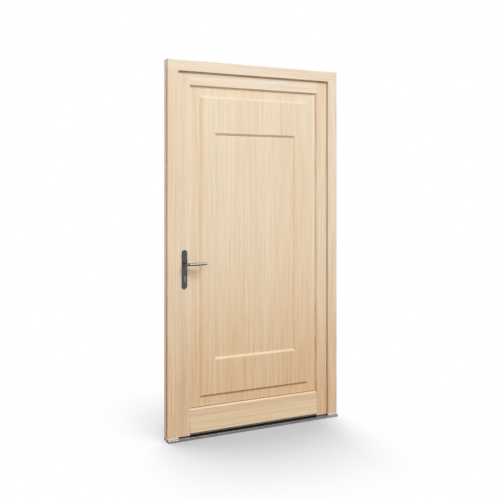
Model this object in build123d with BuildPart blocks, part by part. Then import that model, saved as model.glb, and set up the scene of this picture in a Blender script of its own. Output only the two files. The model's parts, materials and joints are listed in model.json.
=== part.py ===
"""Panelled timber front door in its own frame, with hinges, mortise lock, profile cylinder and levers.

Millimetres. X runs across the doorway with the hinges at +X, Y runs from the street into the room and is
zero in the plane of the frame's street face, Z is up and zero under the threshold.
"""
import os
from math import cos, radians, sin

from build123d import *

os.makedirs("parts", exist_ok=True)

# Fixed frame
frame_width = 1060.0
frame_height = 2060.0
frame_depth = 62.0
frame_face = 60.0
stop_depth = 12.0
stop_reach = 20.0
wood_arris = 2.5
groove_width = 17.0
groove_depth = 6.0
groove_setback = 22.5
fixing_radius = 5.2
fixing_low_inset = 160.0
fixing_high_inset = 140.0
fixing_count = 4
frame_dowel_radius = 5.0
frame_dowel_half = 40.0
frame_dowel_spread = 12.0

# Threshold and the feet under the jambs
threshold_height = 14.0
threshold_nose = 13.0
threshold_wall = 2.5
nose_round = 3.0
bar_front = 22.0
bar_width = 18.0
tongue_reach = 3.0
tongue_height = 4.0
tongue_rise = 5.0
tread_setback = 3.5
tread_thick = 1.2
foot_height = 6.0
peg_radius = 5.0
peg_height = 25.0
peg_spread = 9.0
base_screw_spread = 22.0
base_screw_radius = 2.5
base_screw_length = 48.0
base_head_radius = 4.5
base_head_height = 3.0
base_access_radius = 6.0
base_screw_slack = 0.3

# Leaf, its overlap and the gaps round it
leaf_thick = 68.0
edge_gap = 4.0
seal_gap = 3.0
lip_gap = 2.0
lip_reach = 17.0
floor_gap = 3.0
stile_face = 87.0
bottom_rail_face = 125.5
seal_recess = 10.5
moulding_width = 7.0
moulding_depth = 13.0
panel_rebate = 14.0
panel_gap = 2.0
leaf_dowel_radius = 6.0
leaf_dowel_half = 40.0
top_dowel_spread = 18.0
bottom_dowel_spread = 30.0

# Panel fields
panel_thick = 10.0
field_margin = 51.0
field_bevel = 13.0
field_rise = 12.0
field_lift = 2.0
sunk_side_margin = 73.0
sunk_end_margin = 189.0
sunk_bevel = 12.5
sunk_depth = 8.0
drain_height = 4.0
drain_depth = 6.0

# Weatherboard and bottom seal
board_height = 88.5
board_inset = 8.0
board_throw = 4.0
drip_radius = 3.0
drip_setback = 6.0
board_round = 3.0
seal_front_inset = 2.0
seal_depth = 43.0
seal_body = 8.5
seal_fin = 3.0
seal_fin_inset = 3.0
seal_clearance = 0.3
seal_round = 3.0
spine_width = 4.0
spine_height = 7.0

# Rubber gaskets
gasket_inset = 4.0
gasket_width = 8.0
gasket_root_width = 3.0
gasket_root_depth = 5.0
gasket_clearance = 0.3
lip_gasket_inset = 3.0
lip_gasket_width = 7.0

# Hinges
hinge_inset = 230.0
hinge_side_offset = 9.0
hinge_room_offset = 7.0
barrel_radius = 8.0
barrel_length = 46.0
barrel_round = 1.5
washer_thick = 1.5
hinge_pin_radius = 4.0
hinge_pin_reach = 38.0
stud_radius = 4.0
stud_near = 14.0
stud_pitch = 20.0
frame_stud_reach = 68.0
leaf_stud_reach = 66.0
leaf_stud_angle = 25.0
running_clearance = 0.08

# Mortise lock
lever_height = 953.0
cylinder_drop = 72.0
backset = 55.0
case_above = 47.0
case_below = 36.0
case_depth = 73.0
case_thick = 16.0
case_wall = 1.5
mortise_clearance = 0.5
faceplate_height = 235.0
faceplate_width = 20.0
faceplate_thick = 3.0
face_screw_inset = 10.5
face_screw_radius = 2.2
face_screw_length = 30.0
screw_head_radius = 4.0
screw_head_depth = 2.2
bolt_thick = 12.0
bolt_clearance = 0.5

# Latch bolt and the follower that draws it back
latch_rise = 20.0
latch_height = 18.0
latch_throw = 11.0
latch_body = 14.0
latch_nose = 4.0
latch_bevel = 9.0
tail_height = 6.0
tail_thick = 6.0
lug_thick = 3.0
lug_drop = 11.0
lug_gap = 0.5
follower_radius = 11.0
follower_hub_radius = 9.0
arm_reach = 18.0
arm_width = 6.0
spindle_side = 8.0
spindle_clearance = 0.1

# Deadbolt
deadbolt_drop = 40.0
deadbolt_height = 32.0
deadbolt_length = 40.0
deadbolt_throw = 20.0

# Strike plate
strike_shortfall = 65.0
strike_width = 24.0
strike_thick = 2.0
strike_screw_inset = 14.0
strike_screw_length = 28.0
pocket_clearance = 1.5

# Profile cylinder
profile_radius = 8.5
profile_height = 33.0
stem_width = 10.0
cylinder_proud = 1.5
cylinder_clearance = 0.4
plug_radius = 5.0
plug_gap = 0.5
cam_width = 9.5
cam_radius = 15.0
cam_hub_radius = 7.0
cam_tongue = 6.0
cam_clearance = 1.0
cam_side_clearance = 0.5
keyway_width = 2.2
keyway_height = 7.5
keyway_depth = 24.0
cylinder_screw_radius = 2.5
cylinder_screw_rise = 4.0
cylinder_screw_past = 4.0

# Handle plates, bushes and levers
plate_width = 29.0
plate_height = 210.0
plate_thick = 8.0
plate_below = 133.0
plate_round = 2.5
plate_screw_inset = 17.5
plate_screw_radius = 3.0
plate_screw_bite = 5.0
plate_head_radius = 5.5
plate_head_depth = 3.0
hole_slack = 0.3
bush_radius = 10.0
bush_flange_radius = 13.0
bush_flange = 2.5
bush_round = 1.0
neck_radius = 8.0
neck_reach = 41.5
elbow_radius = 18.0
grip_reach = 113.5
grip_rise = 1.0
tip_radius = 7.0
tip_round = 4.0
socket_reach = 30.0
grub_radius = 2.5
grub_length = 3.6
grip_shares = (0.0, 0.35, 0.7, 1.0)

# Extra length given to cutting tools so that they pass right through
overrun = 2.0

# Places worked out from the sizes above
half_width = frame_width / 2
clear_half = half_width - frame_face
rebate_half = clear_half + stop_reach
leaf_half = rebate_half - edge_gap
lip_half = leaf_half + lip_reach
jamb_mid = (half_width + rebate_half) / 2
head_bottom = frame_height - frame_face
rebate_top = head_bottom + stop_reach
leaf_top = rebate_top - edge_gap
lip_top = leaf_top + lip_reach
leaf_front = stop_depth + seal_gap
leaf_back = leaf_front + leaf_thick
leaf_mid = (leaf_front + leaf_back) / 2
lip_front = frame_depth + lip_gap
jamb_bottom = threshold_height + foot_height
leaf_bottom = threshold_height + floor_gap
rail_bottom = leaf_bottom + seal_recess

arris_half = leaf_half - stile_face
arris_top = leaf_top - stile_face
arris_bottom = rail_bottom + bottom_rail_face
band_half = arris_half - moulding_width
band_top = arris_top - moulding_width
band_bottom = arris_bottom + moulding_width
band_front = leaf_front + moulding_depth
band_back = leaf_back - moulding_depth
pocket_half = band_half + panel_rebate
pocket_top = band_top + panel_rebate
pocket_bottom = band_bottom - panel_rebate
panel_mid = (band_top + band_bottom) / 2
field_mid = panel_mid + field_lift

fixing_low = jamb_bottom + fixing_low_inset
fixing_high = head_bottom - fixing_high_inset
fixing_heights = [
    fixing_low + (fixing_high - fixing_low) * step / (fixing_count - 1) for step in range(fixing_count)
]
hinge_x = lip_half + hinge_side_offset
hinge_y = leaf_back + hinge_room_offset
hinge_low = leaf_bottom + hinge_inset
hinge_high = leaf_top - hinge_inset
hinge_heights = {
    "lower_hinge": hinge_low,
    "middle_hinge": (hinge_low + hinge_high) / 2,
    "upper_hinge": hinge_high,
}

lock_y = (leaf_front + lip_front) / 2
handle_x = backset - leaf_half
cylinder_height = lever_height - cylinder_drop
case_top = lever_height + case_above
case_bottom = cylinder_height - case_below
lock_mid = (case_top + case_bottom) / 2
case_front = faceplate_thick - leaf_half
case_back = case_front + case_depth
latch_height_mid = lever_height + latch_rise
deadbolt_mid = lever_height - deadbolt_drop
strike_mid = (latch_height_mid + deadbolt_mid) / 2
strike_height = faceplate_height - strike_shortfall
stem_bottom = cylinder_height + profile_radius - profile_height
outer_plate_face = leaf_front - plate_thick
inner_plate_face = leaf_back + plate_thick
plate_mid = lever_height - plate_below + plate_height / 2
plate_screw_offset = plate_height / 2 - plate_screw_inset
plate_screw_heights = [plate_mid - plate_screw_offset, plate_mid + plate_screw_offset]
dowel_rows = [
    (pocket_top + leaf_top) / 2 - top_dowel_spread,
    (pocket_top + leaf_top) / 2 + top_dowel_spread,
    (rail_bottom + pocket_bottom) / 2 - bottom_dowel_spread,
    (rail_bottom + pocket_bottom) / 2 + bottom_dowel_spread,
]
bar_back = bar_front + bar_width
base_screw_places = [frame_depth / 2 - base_screw_spread, frame_depth / 2 + base_screw_spread]
peg_places = [frame_depth / 2 - peg_spread, frame_depth / 2 + peg_spread]
frame_dowel_places = [frame_depth / 2 - frame_dowel_spread, frame_depth / 2 + frame_dowel_spread]


def facing(depth):
    """The plane parallel to the door's face at a depth: local x is X, local y is Z, normal to the street."""
    return Plane.XZ.offset(-depth)


def block(low, high, mode=Mode.ADD):
    """A box between two opposite corners."""
    size = [b - a for a, b in zip(low, high)]
    middle = [(a + b) / 2 for a, b in zip(low, high)]
    with Locations(tuple(middle)):
        Box(*size, mode=mode)


def rod(start, end, radius, mode=Mode.ADD):
    """A round bar between two points."""
    reach = Vector(*end) - Vector(*start)
    with Locations(Plane(origin=start, z_dir=reach)):
        Cylinder(radius, reach.length, align=(Align.CENTER, Align.CENTER, Align.MIN), mode=mode)


def cone(start, end, radius, end_radius, mode=Mode.ADD):
    """A countersunk head or its seat between two points."""
    reach = Vector(*end) - Vector(*start)
    with Locations(Plane(origin=start, z_dir=reach)):
        Cone(radius, end_radius, reach.length, align=(Align.CENTER, Align.CENTER, Align.MIN), mode=mode)


def save(piece, name):
    """Names a finished piece and writes it."""
    piece.part.label = name
    export_step(piece.part, f"parts/{name}.step")


def ring_outline(side_x, top_z, width, bottom_z):
    """A strip of even width up one side, across the top and down the other, drawn in a facing plane."""
    inner_x = side_x - width
    inner_z = top_z - width
    Polygon(
        (-side_x, bottom_z), (-side_x, top_z), (side_x, top_z), (side_x, bottom_z),
        (inner_x, bottom_z), (inner_x, inner_z), (-inner_x, inner_z), (-inner_x, bottom_z),
        align=None,
    )


# Frame gasket: a rubber strip on the back of the stop, its root pressed into a groove there
gasket_side = clear_half + gasket_inset + gasket_width
gasket_top = head_bottom + gasket_inset + gasket_width
root_margin = (gasket_width - gasket_root_width) / 2
with BuildPart() as frame_gasket:
    with BuildSketch(facing(leaf_front - gasket_clearance)):
        ring_outline(gasket_side, gasket_top, gasket_width, jamb_bottom)
    extrude(amount=seal_gap - gasket_clearance)
    with BuildSketch(facing(stop_depth)):
        ring_outline(gasket_side - root_margin, gasket_top - root_margin, gasket_root_width, jamb_bottom)
    extrude(amount=gasket_root_depth)
save(frame_gasket, "frame_gasket")


def jamb_outline(side):
    """The plan section of a jamb: the stop towards the street, the rebate behind it."""
    Polygon(
        (side * clear_half, 0), (side * half_width, 0), (side * half_width, frame_depth),
        (side * rebate_half, frame_depth), (side * rebate_half, stop_depth), (side * clear_half, stop_depth),
        align=None,
    )


def jamb(side):
    """One jamb with its wall groove, fixing holes, foot and head holes and gasket groove."""
    with BuildPart() as piece:
        with BuildSketch(Plane.XY.offset(jamb_bottom)) as section:
            jamb_outline(side)
            fillet(section.vertices().group_by(Axis.Y)[0], radius=wood_arris)
            with Locations((side * half_width, groove_setback)):
                Rectangle(groove_depth * 2, groove_width, mode=Mode.SUBTRACT)
        extrude(amount=head_bottom - jamb_bottom)
        for height in fixing_heights:
            rod(
                (side * (rebate_half - overrun), groove_setback, height),
                (side * (half_width + overrun), groove_setback, height),
                fixing_radius, Mode.SUBTRACT,
            )
        for place in peg_places:
            rod(
                (side * jamb_mid, place, jamb_bottom), (side * jamb_mid, place, jamb_bottom + peg_height),
                peg_radius, Mode.SUBTRACT,
            )
        for place in base_screw_places:
            rod(
                (side * jamb_mid, place, jamb_bottom),
                (side * jamb_mid, place, threshold_height - threshold_wall + base_screw_length),
                base_screw_radius, Mode.SUBTRACT,
            )
        for place in frame_dowel_places:
            rod(
                (side * jamb_mid, place, head_bottom - frame_dowel_half), (side * jamb_mid, place, head_bottom),
                frame_dowel_radius, Mode.SUBTRACT,
            )
        add(frame_gasket.part, mode=Mode.SUBTRACT)
    return piece


def stud_heights(height):
    """The heights of the two studs of a hinge half, counted down from the middle of the hinge."""
    return [height - stud_near, height - stud_near - stud_pitch]


# Hinge jamb: drilled from the room side for the frame studs of the hinges
hinge_jamb_blank = jamb(1)
with BuildPart() as hinge_jamb:
    add(hinge_jamb_blank.part)
    for hinge_height in hinge_heights.values():
        for stud_height in stud_heights(hinge_height):
            rod(
                (hinge_x, hinge_y - frame_stud_reach, stud_height), (hinge_x, frame_depth, stud_height),
                stud_radius, Mode.SUBTRACT,
            )
save(hinge_jamb, "hinge_jamb")

# Lock jamb: let in for the strike plate, with pockets for the latch bolt and the deadbolt
strike_face = -rebate_half
bolt_half = bolt_thick / 2 + pocket_clearance
latch_half = latch_height / 2 + pocket_clearance
deadbolt_half = deadbolt_height / 2 + pocket_clearance
latch_tip = -leaf_half - latch_throw
deadbolt_tip = -leaf_half - deadbolt_throw
strike_screw_heights = [
    strike_mid - strike_height / 2 + strike_screw_inset,
    strike_mid + strike_height / 2 - strike_screw_inset,
]
lock_jamb_blank = jamb(-1)
with BuildPart() as lock_jamb:
    add(lock_jamb_blank.part)
    block(
        (strike_face - strike_thick, lock_y - strike_width / 2, strike_mid - strike_height / 2),
        (strike_face + overrun, lock_y + strike_width / 2, strike_mid + strike_height / 2),
        Mode.SUBTRACT,
    )
    for tip, middle, half_height in (
        (latch_tip, latch_height_mid, latch_half), (deadbolt_tip, deadbolt_mid, deadbolt_half),
    ):
        block(
            (tip - pocket_clearance, lock_y - bolt_half, middle - half_height),
            (strike_face, lock_y + bolt_half, middle + half_height),
            Mode.SUBTRACT,
        )
    for screw_height in strike_screw_heights:
        rod(
            (strike_face - strike_screw_length, lock_y, screw_height), (strike_face, lock_y, screw_height),
            face_screw_radius, Mode.SUBTRACT,
        )
save(lock_jamb, "lock_jamb")

# Strike plate: a rounded steel plate with an opening for each bolt and countersunk screw holes
with BuildPart() as strike_plate:
    with BuildSketch(Plane.YZ.offset(strike_face)):
        with Locations((lock_y, strike_mid)):
            SlotOverall(strike_height, strike_width, rotation=90)
        for middle, half_height in ((latch_height_mid, latch_half), (deadbolt_mid, deadbolt_half)):
            with Locations((lock_y, middle)):
                Rectangle(bolt_half * 2, half_height * 2, mode=Mode.SUBTRACT)
    extrude(amount=-strike_thick)
    for screw_height in strike_screw_heights:
        cone(
            (strike_face, lock_y, screw_height), (strike_face - strike_thick, lock_y, screw_height),
            screw_head_radius, face_screw_radius, Mode.SUBTRACT,
        )
save(strike_plate, "strike_plate")

with BuildPart() as strike_screws:
    for screw_height in strike_screw_heights:
        cone(
            (strike_face, lock_y, screw_height), (strike_face - strike_thick, lock_y, screw_height),
            screw_head_radius, face_screw_radius,
        )
        rod(
            (strike_face - strike_screw_length, lock_y, screw_height),
            (strike_face - strike_thick, lock_y, screw_height),
            face_screw_radius,
        )
save(strike_screws, "strike_screws")

# Head: laid across both jambs, rebated between them, with a rounded street edge over the opening
with BuildPart() as head:
    block((-half_width, 0, head_bottom), (half_width, frame_depth, frame_height))
    street_edges = head.edges().group_by(Axis.Y)[0]
    fillet(street_edges.filter_by(Axis.Z) + street_edges.filter_by(Axis.X).sort_by(Axis.Z)[-1:], wood_arris)
    block(
        (-rebate_half, stop_depth, head_bottom - overrun), (rebate_half, frame_depth + overrun, rebate_top),
        Mode.SUBTRACT,
    )
    with BuildSketch(Plane.YZ.offset(-clear_half)):
        with Locations((0, head_bottom)):
            Rectangle(wood_arris, wood_arris, align=(Align.MIN, Align.MIN))
        with Locations((wood_arris, head_bottom + wood_arris)):
            Circle(wood_arris, mode=Mode.SUBTRACT)
    extrude(amount=clear_half * 2, mode=Mode.SUBTRACT)
    for side in (-1, 1):
        for place in frame_dowel_places:
            rod(
                (side * jamb_mid, place, head_bottom), (side * jamb_mid, place, head_bottom + frame_dowel_half),
                frame_dowel_radius, Mode.SUBTRACT,
            )
    add(frame_gasket.part, mode=Mode.SUBTRACT)
save(head, "head")

with BuildPart() as frame_dowels:
    for side in (-1, 1):
        for place in frame_dowel_places:
            rod(
                (side * jamb_mid, place, head_bottom - frame_dowel_half),
                (side * jamb_mid, place, head_bottom + frame_dowel_half),
                frame_dowel_radius,
            )
save(frame_dowels, "frame_dowels")


def jamb_foot(side):
    """The plastic foot between a jamb and the threshold, with two pegs up into the jamb."""
    with BuildPart() as piece:
        with BuildSketch(Plane.XY.offset(threshold_height)) as section:
            jamb_outline(side)
            fillet(section.vertices().group_by(Axis.Y)[0], radius=wood_arris)
        extrude(amount=foot_height)
        for place in peg_places:
            rod(
                (side * jamb_mid, place, jamb_bottom), (side * jamb_mid, place, jamb_bottom + peg_height),
                peg_radius,
            )
        for place in base_screw_places:
            rod(
                (side * jamb_mid, place, threshold_height), (side * jamb_mid, place, jamb_bottom),
                base_screw_radius + base_screw_slack, Mode.SUBTRACT,
            )
    return piece


save(jamb_foot(-1), "lock_jamb_foot")
save(jamb_foot(1), "hinge_jamb_foot")


# The thin black tread in front of the leaf, let into the top of the outer profile
tread_low = (-clear_half, tread_setback - threshold_nose, threshold_height - tread_thick)
tread_high = (clear_half, bar_front, threshold_height)


def threshold_profile(front, back, tongue_edge, tongue_way, screw_place):
    """An extruded hollow aluminium profile with a groove for the plastic bar and screw holes at both ends."""
    tongue_end = tongue_edge + tongue_way * (tongue_reach + threshold_wall)
    chamber_front = max(front + threshold_wall, tongue_end) if tongue_way > 0 else front + threshold_wall
    chamber_back = min(back - threshold_wall, tongue_end) if tongue_way < 0 else back - threshold_wall
    chamber_mid = (chamber_front + chamber_back) / 2
    chamber_width = chamber_back - chamber_front
    with BuildPart() as piece:
        with BuildSketch(Plane.YZ.offset(-half_width)) as section:
            with Locations((front, 0)):
                Rectangle(back - front, threshold_height, align=(Align.MIN, Align.MIN))
            nose = section.vertices().group_by(Axis.X)[0 if tongue_way < 0 else -1].sort_by(Axis.Y)[-1]
            fillet(nose, radius=nose_round)
            with Locations((chamber_mid, threshold_height / 2)):
                Rectangle(chamber_width, threshold_height - threshold_wall * 2, mode=Mode.SUBTRACT)
            with Locations((tongue_edge + tongue_way * tongue_reach / 2, tongue_rise + tongue_height / 2)):
                Rectangle(tongue_reach, tongue_height, mode=Mode.SUBTRACT)
        extrude(amount=frame_width)
        for side in (-1, 1):
            rod(
                (side * jamb_mid, screw_place, -overrun), (side * jamb_mid, screw_place, threshold_height / 2),
                base_access_radius, Mode.SUBTRACT,
            )
            rod(
                (side * jamb_mid, screw_place, 0), (side * jamb_mid, screw_place, threshold_height + overrun),
                base_screw_radius + base_screw_slack, Mode.SUBTRACT,
            )
    return piece


with BuildPart() as threshold_outer_profile:
    add(threshold_profile(-threshold_nose, bar_front, bar_front, -1, base_screw_places[0]).part)
    block(tread_low, tread_high, Mode.SUBTRACT)
save(threshold_outer_profile, "threshold_outer_profile")
save(
    threshold_profile(bar_back, frame_depth, bar_back, 1, base_screw_places[1]),
    "threshold_inner_profile",
)

# Plastic bar between the two profiles, its top carried forward as the tread
with BuildPart() as threshold_thermal_bar:
    with BuildSketch(Plane.YZ.offset(-half_width)):
        with Locations((bar_front, 0)):
            Rectangle(bar_width, threshold_height, align=(Align.MIN, Align.MIN))
        with Locations((bar_front - tongue_reach, tongue_rise)):
            Rectangle(bar_width + tongue_reach * 2, tongue_height, align=(Align.MIN, Align.MIN))
    extrude(amount=frame_width)
    block(tread_low, tread_high)
save(threshold_thermal_bar, "threshold_thermal_bar")

base_seat = threshold_height - threshold_wall
with BuildPart() as threshold_screws:
    for side in (-1, 1):
        for place in base_screw_places:
            rod(
                (side * jamb_mid, place, base_seat - base_head_height), (side * jamb_mid, place, base_seat),
                base_head_radius,
            )
            rod(
                (side * jamb_mid, place, base_seat), (side * jamb_mid, place, base_seat + base_screw_length),
                base_screw_radius,
            )
save(threshold_screws, "threshold_screws")

# Leaf gasket: a rubber strip in the overlap that closes on the room face of the frame
lip_gasket_side = lip_half - lip_gasket_inset
lip_gasket_top = lip_top - lip_gasket_inset
lip_root_margin = (lip_gasket_width - gasket_root_width) / 2
with BuildPart() as leaf_gasket:
    with BuildSketch(facing(lip_front)):
        ring_outline(lip_gasket_side, lip_gasket_top, lip_gasket_width, leaf_bottom)
    extrude(amount=lip_gap - gasket_clearance)
    with BuildSketch(facing(lip_front + gasket_root_depth)):
        ring_outline(
            lip_gasket_side - lip_root_margin, lip_gasket_top - lip_root_margin, gasket_root_width, leaf_bottom
        )
    extrude(amount=gasket_root_depth)
save(leaf_gasket, "leaf_gasket")


def tapered_field(middle, depth, size, end_depth, end_size, mode=Mode.ADD):
    """A rectangular field with bevelled sides between two depths, its middle at a given height."""
    with BuildSketch(facing(depth)) as start:
        with Locations((0, middle)):
            Rectangle(*size)
    with BuildSketch(facing(end_depth)) as end:
        with Locations((0, middle)):
            Rectangle(*end_size)
    loft([start.sketch.face(), end.sketch.face()], ruled=True, mode=mode)


# The space that the panel and its beads fill, taken out of the stiles and rails alike
with BuildPart() as panel_space:
    tapered_field(
        panel_mid, leaf_front, (arris_half * 2, arris_top - arris_bottom),
        band_front, (band_half * 2, band_top - band_bottom),
    )
    block((-pocket_half, band_front, pocket_bottom), (pocket_half, leaf_back, pocket_top))

# Dowels that join the rails to the stiles
with BuildPart() as leaf_dowels:
    for side in (-1, 1):
        for row in dowel_rows:
            rod(
                (side * (arris_half - leaf_dowel_half), lock_y, row),
                (side * (arris_half + leaf_dowel_half), lock_y, row),
                leaf_dowel_radius,
            )
save(leaf_dowels, "leaf_dowels")


def stile(side):
    """A stile: its bevelled inner edge mitred into the rails, its overlap standing out on the room side."""
    inner_edge = [
        (side * arris_half, leaf_bottom), (side * arris_half, arris_bottom), (side * band_half, band_bottom),
        (side * band_half, band_top), (side * arris_half, arris_top),
    ]
    with BuildPart() as piece:
        with BuildSketch(facing(leaf_back)):
            Polygon(
                *inner_edge, (side * arris_half, leaf_top), (side * leaf_half, leaf_top),
                (side * leaf_half, leaf_bottom), align=None,
            )
        extrude(amount=leaf_thick)
        with BuildSketch(facing(leaf_back)):
            Polygon(
                (side * arris_half, leaf_top), (side * arris_half, lip_top), (side * lip_half, lip_top),
                (side * lip_half, leaf_bottom), (side * leaf_half, leaf_bottom), (side * leaf_half, leaf_top),
                align=None,
            )
        extrude(amount=leaf_back - lip_front)
        room_edges = piece.edges().group_by(Axis.Y)[-1]
        outer_edge = room_edges.filter_by(Axis.Z).sort_by(Axis.X)[-1 if side > 0 else 0]
        fillet([outer_edge, room_edges.filter_by(Axis.X).sort_by(Axis.Z)[-1]], wood_arris)
        add(panel_space.part, mode=Mode.SUBTRACT)
        add(leaf_dowels.part, mode=Mode.SUBTRACT)
        add(leaf_gasket.part, mode=Mode.SUBTRACT)
    return piece


# The axis of a leaf stud runs from the hinge axis back and inwards into the stile
stud_way = Vector(-cos(radians(leaf_stud_angle)), -sin(radians(leaf_stud_angle)), 0)
stud_end = Vector(hinge_x, hinge_y, 0) + stud_way * leaf_stud_reach


def leaf_stud(height, mode=Mode.ADD):
    """One slanting stud of a leaf half."""
    rod((hinge_x, hinge_y, height), (stud_end.X, stud_end.Y, height), stud_radius, mode)


def leaf_stud_heights(height):
    """The heights of the two studs of a leaf half, counted up from the middle of the hinge."""
    return [height + stud_near, height + stud_near + stud_pitch]


hinge_stile_blank = stile(1)
with BuildPart() as hinge_stile:
    add(hinge_stile_blank.part)
    for hinge_height in hinge_heights.values():
        for stud_height in leaf_stud_heights(hinge_height):
            leaf_stud(stud_height, Mode.SUBTRACT)
save(hinge_stile, "hinge_stile")


def euro_profile(grow=0):
    """The keyhole outline of a profile cylinder, drawn in a facing plane."""
    with Locations((handle_x, cylinder_height)):
        Circle(profile_radius + grow)
    stem_low = stem_bottom - grow
    with Locations((handle_x, (cylinder_height + stem_low + stem_width / 2 + grow) / 2)):
        Rectangle(stem_width + grow * 2, cylinder_height - stem_low - stem_width / 2 - grow)
    with Locations((handle_x, stem_low + stem_width / 2 + grow)):
        Circle(stem_width / 2 + grow)


# Lock stile: mortised for the lock, drilled for spindle, cylinder and the screws of the handle plates
face_screw_heights = [
    lock_mid - faceplate_height / 2 + face_screw_inset,
    lock_mid + faceplate_height / 2 - face_screw_inset,
]
cylinder_screw_height = stem_bottom + cylinder_screw_rise
mortise_half = case_thick / 2 + mortise_clearance
lock_stile_blank = stile(-1)
with BuildPart() as lock_stile:
    add(lock_stile_blank.part)
    block(
        (-leaf_half - overrun, lock_y - faceplate_width / 2, lock_mid - faceplate_height / 2),
        (case_front, lock_y + faceplate_width / 2, lock_mid + faceplate_height / 2),
        Mode.SUBTRACT,
    )
    block(
        (case_front, lock_y - mortise_half, case_bottom - mortise_clearance),
        (case_back + mortise_clearance, lock_y + mortise_half, case_top + mortise_clearance),
        Mode.SUBTRACT,
    )
    with BuildSketch(facing(leaf_back)):
        euro_profile(cylinder_clearance)
        with Locations((handle_x, lever_height)):
            Circle(bush_radius)
        with Locations(*[(handle_x, height) for height in plate_screw_heights]):
            Circle(plate_screw_radius + hole_slack)
    extrude(amount=leaf_thick, mode=Mode.SUBTRACT)
    for screw_height in face_screw_heights:
        rod(
            (case_front, lock_y, screw_height), (face_screw_length - leaf_half, lock_y, screw_height),
            face_screw_radius, Mode.SUBTRACT,
        )
save(lock_stile, "lock_stile")

# Top rail: between the stiles, bevelled below, with the overlap along its top
with BuildPart() as top_rail:
    with BuildSketch(facing(leaf_back)):
        Polygon(
            (-arris_half, leaf_top), (arris_half, leaf_top), (arris_half, arris_top),
            (band_half, band_top), (-band_half, band_top), (-arris_half, arris_top), align=None,
        )
    extrude(amount=leaf_thick)
    block((-arris_half, lip_front, leaf_top), (arris_half, leaf_back, lip_top))
    room_edges = top_rail.edges().group_by(Axis.Y)[-1]
    fillet(room_edges.filter_by(Axis.X).sort_by(Axis.Z)[-1], wood_arris)
    add(panel_space.part, mode=Mode.SUBTRACT)
    add(leaf_dowels.part, mode=Mode.SUBTRACT)
    add(leaf_gasket.part, mode=Mode.SUBTRACT)
save(top_rail, "top_rail")

# Bottom seal: a black carrier under the bottom rail with two fins that wipe the threshold
seal_front = leaf_front + seal_front_inset
seal_back = seal_front + seal_depth
seal_mid = (seal_front + seal_back) / 2
front_fin = seal_front + seal_fin_inset
back_fin = seal_back - seal_fin - seal_fin_inset
fin_bottom = threshold_height + seal_clearance
with BuildPart() as bottom_seal:
    with BuildSketch(Plane.YZ.offset(-arris_half)) as section:
        with Locations((seal_front, rail_bottom - seal_body)):
            Rectangle(seal_depth, seal_body, align=(Align.MIN, Align.MIN))
        fillet(section.vertices().group_by(Axis.X)[0].sort_by(Axis.Y)[-1], radius=seal_round)
        with Locations((seal_mid, rail_bottom + spine_height / 2)):
            Rectangle(spine_width, spine_height)
        with Locations((front_fin, fin_bottom), (back_fin, fin_bottom)):
            Rectangle(seal_fin, rail_bottom - seal_body - fin_bottom, align=(Align.MIN, Align.MIN))
    extrude(amount=arris_half * 2)
save(bottom_seal, "bottom_seal")

# Weatherboard: a board let into the foot of the leaf, leaning out at the bottom over a drip groove
board_top = rail_bottom + board_height
board_back = leaf_front + board_inset
board_foot = leaf_front - board_throw
with BuildPart() as weatherboard:
    with BuildSketch(Plane.YZ.offset(-arris_half)) as section:
        Polygon(
            (leaf_front, board_top), (board_back, board_top),
            (board_back, rail_bottom), (board_foot, rail_bottom), align=None,
        )
        fillet(section.vertices().sort_by(Axis.X)[0], radius=board_round)
        with Locations((board_foot + drip_setback, rail_bottom)):
            Circle(drip_radius, mode=Mode.SUBTRACT)
    extrude(amount=arris_half * 2)
save(weatherboard, "weatherboard")

with BuildPart() as bottom_rail:
    with BuildSketch(facing(leaf_back)):
        Polygon(
            (-arris_half, rail_bottom), (arris_half, rail_bottom), (arris_half, arris_bottom),
            (band_half, band_bottom), (-band_half, band_bottom), (-arris_half, arris_bottom), align=None,
        )
    extrude(amount=leaf_thick)
    block(
        (-arris_half, leaf_front - overrun, rail_bottom - overrun), (arris_half, board_back, board_top),
        Mode.SUBTRACT,
    )
    add(panel_space.part, mode=Mode.SUBTRACT)
    add(leaf_dowels.part, mode=Mode.SUBTRACT)
    add(bottom_seal.part, mode=Mode.SUBTRACT)
save(bottom_rail, "bottom_rail")

# Outer panel: a raised field with bevelled sides, a second field sunk into its middle, and a drain at its foot
panel_size = ((pocket_half - panel_gap) * 2, pocket_top - pocket_bottom - panel_gap * 2)
foot_size = ((band_half - field_margin) * 2, band_top - band_bottom - field_margin * 2)
raised_size = tuple(side - field_bevel * 2 for side in foot_size)
sunk_size = (raised_size[0] - sunk_side_margin * 2, raised_size[1] - sunk_end_margin * 2)
floor_size = tuple(side - sunk_bevel * 2 for side in sunk_size)
raised_front = band_front - field_rise
panel_back = band_front + panel_thick
with BuildPart() as outer_panel:
    with BuildSketch(facing(panel_back)):
        with Locations((0, panel_mid)):
            Rectangle(*panel_size)
    extrude(amount=panel_thick)
    tapered_field(field_mid, band_front, foot_size, raised_front, raised_size)
    tapered_field(field_mid, raised_front, sunk_size, raised_front + sunk_depth, floor_size, Mode.SUBTRACT)
    block(
        (-band_half, band_front - overrun, band_bottom),
        (band_half, band_front + drain_depth, band_bottom + drain_height),
        Mode.SUBTRACT,
    )
save(outer_panel, "outer_panel")

with BuildPart() as inner_panel:
    mirror(outer_panel.part, about=facing(leaf_mid))
save(inner_panel, "inner_panel")

with BuildPart() as panel_core:
    with BuildSketch(facing(band_back - panel_thick)):
        with Locations((0, panel_mid)):
            Rectangle(*panel_size)
    extrude(amount=band_back - panel_back - panel_thick)
save(panel_core, "panel_core")


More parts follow.
